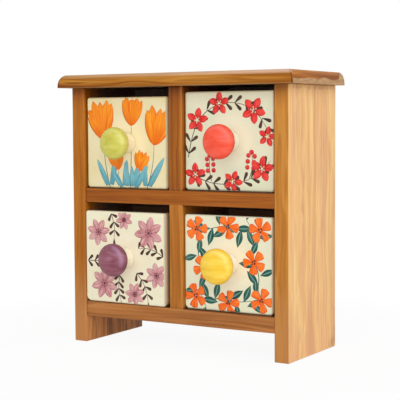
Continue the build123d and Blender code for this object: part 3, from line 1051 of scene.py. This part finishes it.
def marks_tree():
    """Lays one brush mark on each point, turned, sized and tinted by the point's own values."""
    tree, keys, given = open_tree("lay_brush_marks", {
        "Points": "Geometry", "Mark": "Object", "Paint": "Material", "Wobble": "Float", "Seed": "Int",
    })
    least = product(tree, given["Wobble"], -1.0)
    wobble = chance(tree, least, given["Wobble"], given["Seed"])
    lean = maths(tree, "ADD", point_value(tree, "turn", "FLOAT"), wobble)
    angles = node(tree, "ShaderNodeCombineXYZ", {"X": math.pi / 2, "Y": lean}).outputs["Vector"]
    laid = node(tree, "GeometryNodeInstanceOnPoints", {
        "Points": given["Points"],
        "Instance": node(tree, "GeometryNodeObjectInfo", {"Object": given["Mark"]}).outputs["Geometry"],
        "Rotation": node(tree, "FunctionNodeEulerToRotation", {"Euler": angles}).outputs["Rotation"],
        "Scale": point_value(tree, "size", "FLOAT_VECTOR"),
    }).outputs["Instances"]
    tinted = node(tree, "GeometryNodeStoreNamedAttribute", {
        "Geometry": laid, "Name": "tint", "Value": chance(tree, 0.0, 1.0, given["Seed"]),
    }, data_type="FLOAT", domain="INSTANCE").outputs["Geometry"]
    real = node(tree, "GeometryNodeRealizeInstances", {"Geometry": tinted}).outputs["Geometry"]
    close_tree(tree, real, given["Paint"])
    return tree, keys


def stems_tree():
    """Draws thin tapering brush lines along curves."""
    tree, keys, given = open_tree("draw_stems", {
        "Curves": "Geometry", "Paint": "Material", "Width": "Float", "Relief": "Float",
    })
    even = node(tree, "GeometryNodeResampleCurve", {"Curve": given["Curves"], "Count": line_points})
    share = node(tree, "GeometryNodeSplineParameter").outputs["Factor"]
    radius = product(tree, span(tree, share, 0.0, 1.0, 1.0, 0.45), given["Width"])
    sized = node(tree, "GeometryNodeSetCurveRadius", {"Curve": even.outputs["Curve"], "Radius": radius})
    ring = node(tree, "GeometryNodeCurvePrimitiveCircle", {"Resolution": 8, "Radius": 0.5})
    tube = node(tree, "GeometryNodeCurveToMesh", {
        "Curve": sized.outputs["Curve"],
        "Profile Curve": ring.outputs["Curve"],
        "Scale": radius,
        "Fill Caps": True,
    })
    squeeze = node(tree, "ShaderNodeCombineXYZ", {"X": 1.0, "Y": given["Relief"], "Z": 1.0})
    flat = node(tree, "GeometryNodeTransform", {
        "Geometry": tube.outputs["Mesh"], "Scale": squeeze.outputs["Vector"],
    })
    close_tree(tree, flat.outputs["Geometry"], given["Paint"])
    return tree, keys


def grown(carrier, tree, keys, values):
    """Run a node tree on a carrier object and return the plain mesh that it makes."""
    maker = carrier.modifiers.new("maker", "NODES")
    maker.node_group = tree
    for name, value in values.items():
        maker[keys[name]] = value
    bpy.context.view_layer.update()
    depsgraph = bpy.context.evaluated_depsgraph_get()
    mesh = bpy.data.meshes.new_from_object(carrier.evaluated_get(depsgraph), depsgraph=depsgraph)
    carrier.modifiers.remove(maker)
    bpy.data.objects.remove(carrier)
    return mesh


def paint(name, light, body, deep, rib=None):
    """Brushed colour: streaks along each stroke, deeper at its foot and edges, with a rib if given."""
    light, body, deep = colours(light, body, deep)
    material, tree, shader = new_material(name)
    place = node(tree, "ShaderNodeUVMap", uv_map="UVMap").outputs["UV"]
    stroke = parts(tree, place)
    tint = attribute(tree, "tint")
    offset = node(tree, "ShaderNodeCombineXYZ", {"Z": product(tree, tint, 40.0)}).outputs["Vector"]
    moved = node(tree, "ShaderNodeVectorMath", {0: place, 1: offset}).outputs["Vector"]
    streaks = cloud(tree, mapped(tree, moved, scale=(9.0, 1.3, 1.0)), 1.0, 2.0, 0.6)
    colour = ramp(tree, streaks, (0.34, 0.50, 0.66), (deep, body, light))
    colour = mix(tree, product(tree, tint, 0.35), colour, light)
    colour = mix(tree, span(tree, stroke["Y"], 0.05, 0.55, 0.7, 0.0), colour, deep)
    off_middle = maths(tree, "ABSOLUTE", maths(tree, "SUBTRACT", stroke["X"], 0.5))
    colour = mix(tree, span(tree, off_middle, 0.34, 0.49, 0.0, 0.65), colour, deep)
    if rib:
        colour = mix(tree, span(tree, off_middle, 0.03, 0.08, 0.75, 0.0), colour, srgb(*rib))
    coat(tree, shader, colour, span(tree, streaks, 0.3, 0.7, 0.16, 0.26),
         Specular_IOR_Level=0.2, Normal=bump(tree, streaks, 0.12, 0.3 * MM))
    return material


def line_paint(name, body, deep):
    """Thin brush line whose colour varies where the brush was loaded or dry."""
    material, tree, shader = new_material(name)
    loaded = cloud(tree, object_place(tree), 160.0, 3.0, 0.6)
    colour = ramp(tree, loaded, (0.35, 0.65), colours(deep, body))
    coat(tree, shader, colour, span(tree, loaded, 0.3, 0.7, 0.18, 0.28),
         Normal=bump(tree, loaded, 0.12, 0.3 * MM))
    return material


# Designs, in millimetres from the middle of a drawer's face; turns are clockwise from upright
class Design:
    """Marks and lines of one painted front."""

    def __init__(self):
        self.marks = {}
        self.lines = {}

    def mark(self, layer, kind, x, z, turn, length, width):
        """One brush mark that starts at a point."""
        self.marks.setdefault((layer, kind), []).append((x, z, turn, length, width))

    def line(self, layer, points):
        """One thin line."""
        self.lines.setdefault(layer, []).append(points)

    def blossom(self, x, z, petals, length, width, turn, gap, kind="petal", twist=0.0):
        """Ring of petals round a gap, each with a twist if given."""
        for step in range(petals):
            angle = turn + 360 * step / petals
            self.mark("bloom", kind, *beside(x, z, angle, gap), angle + twist, length, width)

    def dot(self, layer, x, z, size):
        """Round mark centred on a point."""
        self.mark(layer, "dot", x, z - size / 2, 0.0, size, size)

    def eyes(self, x, z, count, reach, size, turn):
        """Ring of dots at a flower's heart."""
        for step in range(count):
            self.dot("eye", *beside(x, z, turn + 360 * step / count, reach), size)


def beside(x, z, turn, reach):
    """Point at a distance from another, in a direction clockwise from upright."""
    angle = math.radians(turn)
    return x + reach * math.sin(angle), z + reach * math.cos(angle)


def between(first, last, share):
    """Point at a share of the way from one point to another."""
    return tuple(start + (end - start) * share for start, end in zip(first, last))


def bend(first, last, bow, count=7):
    """Points on a bowed line between two points."""
    start, end = Vector(first), Vector(last)
    side = Vector((end.y - start.y, start.x - end.x)).normalized()
    points = []
    for step in range(count + 1):
        share = step / count
        place = start.lerp(end, share) + side * bow * 4 * share * (1 - share)
        points.append((place.x, place.y))
    return points


def stretches(points):
    """Each stretch of a line: its first point, its last one and its heading."""
    for first, last in zip(points, points[1:]):
        yield first, last, math.degrees(math.atan2(last[0] - first[0], last[1] - first[1]))


def tulip_design():
    """Orange tulips on blue-green stems with strap leaves."""
    design = Design()
    cups = [(-25, 3, -9, 36), (5, 15, 2, 27), (29, -2, 11, 35), (-9, -24, -14, 20), (13, -25, 13, 19)]
    ground = -40.2
    for x, z, turn, length in cups:
        root = x * 0.82 - turn * 0.25
        design.line("stem", bend((root, ground), beside(x, z, turn + 180, 1.0), turn * 0.18))
        for lean, share in ((-25, 0.90), (25, 0.92), (-12, 1.0), (12, 0.98), (0, 0.93)):
            design.mark("bloom", "petal", x, z, turn + lean, length * share, length * 0.42)
        design.mark("leaf", "strap", root + 1.2, ground, turn + 19, 15 + length * 0.5, 6.0)
        design.mark("leaf", "strap", root - 1.2, ground, turn - 17, 10 + length * 0.5, 5.4)
    return design


def garland_design():
    """Red five-petal blossoms and berries on a brown leafy garland."""
    design = Design()
    arch = [(-40, -14), (-36, 8), (-24, 25), (-6, 33), (14, 32), (31, 22), (40, 4)]
    swag = [(-40, -26), (-26, -34), (-8, -37), (12, -35), (28, -28), (40, -16)]
    for points in (arch, swag):
        design.line("twig", points)
        for first, last, heading in stretches(points):
            for share in (0.15, 0.6):
                for lean in (-44, 44):
                    design.mark("leaf", "drop", *between(first, last, share), heading + lean, 9.0, 4.0)
    blossoms = [(-31, 18, 9.6, 10), (-9, 32, 9.0, 0), (24, 26, 10.4, 30), (37, 4, 7.6, 14),
                (-33, -29, 9.4, 0), (4, -34, 8.4, 22), (32, -23, 10.0, 8)]
    for x, z, length, turn in blossoms:
        design.blossom(x, z, 5, length, length * 0.86, turn, 1.2)
        design.eyes(x, z, 5, length * 0.24, 1.5, turn + 36)
    for x, z, lean in ((-17, -34, -4), (20, -31, 6)):
        tip = beside(x, z, lean, 21)
        design.line("twig", bend((x, z), tip, lean * 0.3, 4))
        for reach in (9, 14, 19):
            for side in (-90, 90):
                design.dot("berry", *beside(*beside(x, z, lean, reach), lean + side, 3.0), 4.2)
        design.dot("berry", tip[0], tip[1] + 1.0, 4.4)
    return design


def mallow_design():
    """Broad mauve blossoms and brown budding twigs."""
    design = Design()
    blooms = [(25, 23, 14.0, 10), (-29, 22, 11.5, 30), (-23, -24, 13.5, 0), (10, -32, 9.6, 20),
              (33, -14, 10.6, 40), (-1, 34, 8.0, 5)]
    for x, z, length, turn in blooms:
        design.blossom(x, z, 7, length, length * 0.72, turn, 1.0)
        design.eyes(x, z, 7, length * 0.22, 1.3, turn + 26)
        design.dot("eye", x, z, 2.4)
    twigs = [
        bend((-41, -4), (-14, 3), 3, 4),
        bend((12, -13), (24, -38), -3, 4),
        bend((40, 3), (14, 9), 3, 4),
        bend((-6, -16), (-5, -39), 2, 4),
        bend((-15, 39), (-12, 17), -2, 3),
    ]
    for points in twigs:
        design.line("twig", points)
        for first, _, heading in stretches(points):
            for lean in (-46, 46):
                design.mark("leaf", "drop", *first, heading + lean, 7.4, 3.7)
        design.mark("leaf", "drop", *points[-1], 180 if points[-1][1] < points[0][1] else 20, 6.6, 3.6)
    return design


def pinwheel_design():
    """Orange pinwheel flowers on a winding vine with pointed green leaves."""
    design = Design()
    vines = [
        [(-40, 33), (-27, 22), (-31, 6), (-22, -9), (-30, -24), (-22, -38)],
        [(40, -33), (27, -25), (31, -8), (22, 8), (29, 24), (18, 38)],
        [(-20, -34), (-6, -27), (8, -33), (22, -30)],
        [(20, 33), (6, 27), (-8, 33), (-22, 28)],
    ]
    for points in vines:
        design.line("vine", points)
        for first, last, heading in stretches(points):
            design.mark("leaf", "leaf", *between(first, last, 0.5), heading - 52, 16.0, 6.2)
            design.mark("leaf", "leaf", *last, heading + 56, 14.5, 5.6)
    wheels = [(-31, 29, 0), (-24, -4, 20), (-32, -29, 40), (32, -29, 10), (25, 3, 30), (31, 30, 50),
              (0, 32, 15), (0, -33, 5)]
    for x, z, turn in wheels:
        design.blossom(x, z, 5, 10.6, 10.6, turn, 0.4, "drop", 14)
        design.eyes(x, z, 3, 1.4, 1.7, turn)
    return design


fronts = {
    "upper_left": (tulip_design, {
        "stem": line_paint("blue_green_line", (70, 120, 132), (36, 78, 92)),
        "leaf": paint("blue_green_paint", (150, 204, 210), (108, 180, 192), (66, 138, 154)),
        "bloom": paint("tulip_orange_paint", (252, 170, 44), (247, 134, 18), (234, 94, 8)),
    }),
    "upper_right": (garland_design, {
        "twig": line_paint("brown_line", (96, 66, 52), (54, 34, 28)),
        "leaf": paint("brown_leaf_paint", (104, 76, 60), (70, 46, 38), (46, 28, 24)),
        "bloom": paint("garland_red_paint", (248, 90, 78), (238, 52, 48), (188, 22, 30)),
        "berry": paint("berry_red_paint", (240, 90, 84), (222, 44, 48), (176, 20, 32)),
        "eye": paint("blossom_eye_paint", (250, 226, 180), (240, 200, 140), (120, 50, 40)),
    }),
    "lower_left": (mallow_design, {
        "twig": line_paint("dark_brown_line", (104, 70, 60), (58, 36, 32)),
        "leaf": paint("dark_brown_bud_paint", (112, 78, 66), (76, 50, 44), (52, 32, 28)),
        "bloom": paint("mauve_paint", (236, 196, 192), (212, 148, 150), (176, 98, 108)),
        "eye": paint("mauve_eye_paint", (140, 80, 84), (104, 56, 64), (74, 36, 44)),
    }),
    "lower_right": (pinwheel_design, {
        "vine": line_paint("green_line", (58, 116, 98), (24, 76, 66)),
        "leaf": paint("green_leaf_paint", (66, 124, 110), (32, 90, 80), (14, 62, 58), (150, 190, 170)),
        "bloom": paint("pinwheel_orange_paint", (255, 138, 56), (252, 112, 30), (232, 86, 16)),
        "eye": paint("pinwheel_eye_paint", (120, 56, 34), (92, 40, 26), (70, 28, 20)),
    }),
}
layer_lift = {"leaf": 0.02 * MM, "bloom": 0.05 * MM, "berry": 0.05 * MM, "eye": 0.10 * MM}
line_width = {"stem": 0.9 * MM, "twig": 0.8 * MM, "vine": 1.0 * MM}
face_round = 1.9 * MM
face_margin = 0.8 * MM
corner_cut = 4.6 * MM


def wrapped(point, half_width, half_height):
    """Point of the flat design bent over the rounded edges of a face; y is minus its height."""
    height = -point.y
    normal = Vector((0.0, -1.0, 0.0))
    place = Vector((0.0, 0.0, 0.0))
    for axis, half in ((0, half_width), (2, half_height)):
        flat = half - face_round
        over = max(0.0, abs(point[axis]) - flat)
        angle = min(over / face_round, math.pi / 2)
        sign = math.copysign(1.0, point[axis])
        place[axis] = sign * (min(abs(point[axis]), flat) + face_round * math.sin(angle))
        place.y += face_round * (1 - math.cos(angle))
        normal[axis] = sign * math.sin(angle)
        normal.y *= math.cos(angle)
    return place + normal.normalized() * height


def fitted(mesh, name, drawer_name):
    """Trim a flat design at the face's edges, lay it on the drawer and make it ride along."""
    drawer = drawers[drawer_name]
    low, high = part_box(f"{drawer_name}_drawer")
    half_width, half_height = (high.x - low.x) / 2, (high.z - low.z) / 2
    middle = Vector(((low.x + high.x) / 2, low.y, (low.z + high.z) / 2))
    right_margin = max(face_margin, drawer.right_band - face_margin)
    trims = [
        (Vector((-1, 0, 0)), half_width - face_margin), (Vector((1, 0, 0)), half_width - right_margin),
        (Vector((0, 0, -1)), half_height - face_margin), (Vector((0, 0, 1)), half_height - face_margin),
    ]
    for right, upper in ((-1, -1), (-1, 1), (1, -1), (1, 1)):
        slant = Vector((right, 0, upper)).normalized()
        trims.append((slant, (half_width + half_height - corner_cut) / math.sqrt(2)))
    shape = bmesh.new()
    shape.from_mesh(mesh)
    for normal, reach in trims:
        cut(shape, normal, reach, trim=True)
    bmesh.ops.holes_fill(shape, edges=[edge for edge in shape.edges if edge.is_boundary])
    for corner in shape.verts:
        corner.co = wrapped(corner.co, half_width, half_height) + middle
    bmesh.ops.recalc_face_normals(shape, faces=shape.faces)
    mesh.name = name
    attach(smooth_piece(name, shape, mesh), f"{drawer_name}_tray")


def line_carrier(name, lines):
    """Curves of one layer's lines."""
    curves = bpy.data.curves.new(name, "CURVE")
    curves.dimensions = "3D"
    for points in lines:
        spline = curves.splines.new("NURBS")
        spline.points.add(len(points) - 1)
        for control, (x, z) in zip(spline.points, points):
            control.co = (x * MM, 0.0, z * MM, 1.0)
        spline.order_u = 3
        spline.use_endpoint_u = True
    return linked(name, curves)


def mark_carrier(name, places, lift):
    """Points of one layer's marks, with their turns and sizes."""
    dots = bpy.data.meshes.new(name)
    dots.from_pydata([(x * MM, -lift, z * MM) for x, z, *_ in places], [], [])
    turns = dots.attributes.new("turn", "FLOAT", "POINT")
    turns.data.foreach_set("value", [math.radians(turn) for _, _, turn, *_ in places])
    sizes = dots.attributes.new("size", "FLOAT_VECTOR", "POINT")
    flat = [value for *_, length, width in places for value in (width * MM, length * MM, paint_relief)]
    sizes.data.foreach_set("vector", flat)
    return linked(name, dots)


def paint_fronts():
    """Generic flower designs on all four drawers."""
    marks, mark_keys = marks_tree()
    stems, stem_keys = stems_tree()
    brushes = {kind: mark_object(kind) for kind in mark_outlines}
    for order, (drawer_name, (make_design, paints)) in enumerate(fronts.items()):
        design = make_design()
        for layer, lines in design.lines.items():
            name = f"{drawer_name}_{layer}"
            mesh = grown(line_carrier(f"{name}_lines", lines), stems, stem_keys, {
                "Paint": paints[layer], "Width": line_width[layer], "Relief": line_relief,
            })
            fitted(mesh, name, drawer_name)
        for (layer, kind), places in design.marks.items():
            name = f"{drawer_name}_{layer}_{kind}"
            mesh = grown(mark_carrier(f"{name}_points", places, layer_lift[layer]), marks, mark_keys, {
                "Mark": brushes[kind],
                "Paint": paints[layer],
                "Wobble": mark_wobble,
                "Seed": first_seed + order,
            })
            fitted(mesh, name, drawer_name)
    for brush in brushes.values():
        bpy.data.objects.remove(brush)


# Stage
floor_reach = 4.0
floor_fade = (0.16, 0.40)
light_aim = (0.0, 0.0, 0.12)
softbox_size = 1.5


def softbox(name, place, power):
    """Square soft light aimed at the chest."""
    data = bpy.data.lights.new(name, "AREA")
    data.shape = "SQUARE"
    data.size = softbox_size
    data.energy = power
    lamp = linked(name, data)
    lamp.location = place
    lamp.rotation_euler = (Vector(light_aim) - Vector(place)).to_track_quat("-Z", "Y").to_euler()


def seen_white(tree):
    """1 for camera, glossy and transmission rays, which see the plain white backdrop."""
    path = node(tree, "ShaderNodeLightPath").outputs
    shiny = maths(tree, "MAXIMUM", path["Is Glossy Ray"], path["Is Transmission Ray"])
    return maths(tree, "MAXIMUM", path["Is Camera Ray"], shiny)


def add_world():
    """White backdrop that lights the chest at half strength."""
    world = bpy.data.worlds.new("studio")
    scene.world = world
    world.use_nodes = True
    tree = world.node_tree
    background = next(item for item in tree.nodes if item.type == "BACKGROUND")
    plug(tree, background.inputs["Strength"], span(tree, seen_white(tree), 0.0, 1.0, 0.5, 1.0))
    background.inputs["Color"].default_value = (1.0, 1.0, 1.0, 1.0)


def add_floor():
    """Pale floor that keeps the shadow and fades into the backdrop."""
    mesh = bpy.data.meshes.new("floor")
    corners = [(-floor_reach, -floor_reach, 0), (floor_reach, -floor_reach, 0),
               (floor_reach, floor_reach, 0), (-floor_reach, floor_reach, 0)]
    mesh.from_pydata(corners, [], [(0, 1, 2, 3)])
    floor = linked("floor", mesh)
    material, tree, shader = new_material("pale_floor")
    coat(tree, shader, (0.9, 0.9, 0.9, 1.0), 0.9, Specular_IOR_Level=0.0)
    faded = span(tree, vector_length(tree, object_place(tree)), *floor_fade, 0.93, 1.0, smooth=True)
    share = product(tree, faded, seen_white(tree))
    white = node(tree, "ShaderNodeEmission").outputs["Emission"]
    blended = node(tree, "ShaderNodeMixShader", {0: share, 1: shader.outputs["BSDF"], 2: white})
    output = next(item for item in tree.nodes if item.type == "OUTPUT_MATERIAL")
    plug(tree, output.inputs["Surface"], blended.outputs["Shader"])
    mesh.materials.append(material)


add_camera()
add_world()
add_floor()
softbox("right_softbox", (1.40, -0.30, 0.80), 8.5)
softbox("front_softbox", (0.45, -1.45, 0.80), 13.0)
build_boards()
finish_drawers()
paint_fronts()
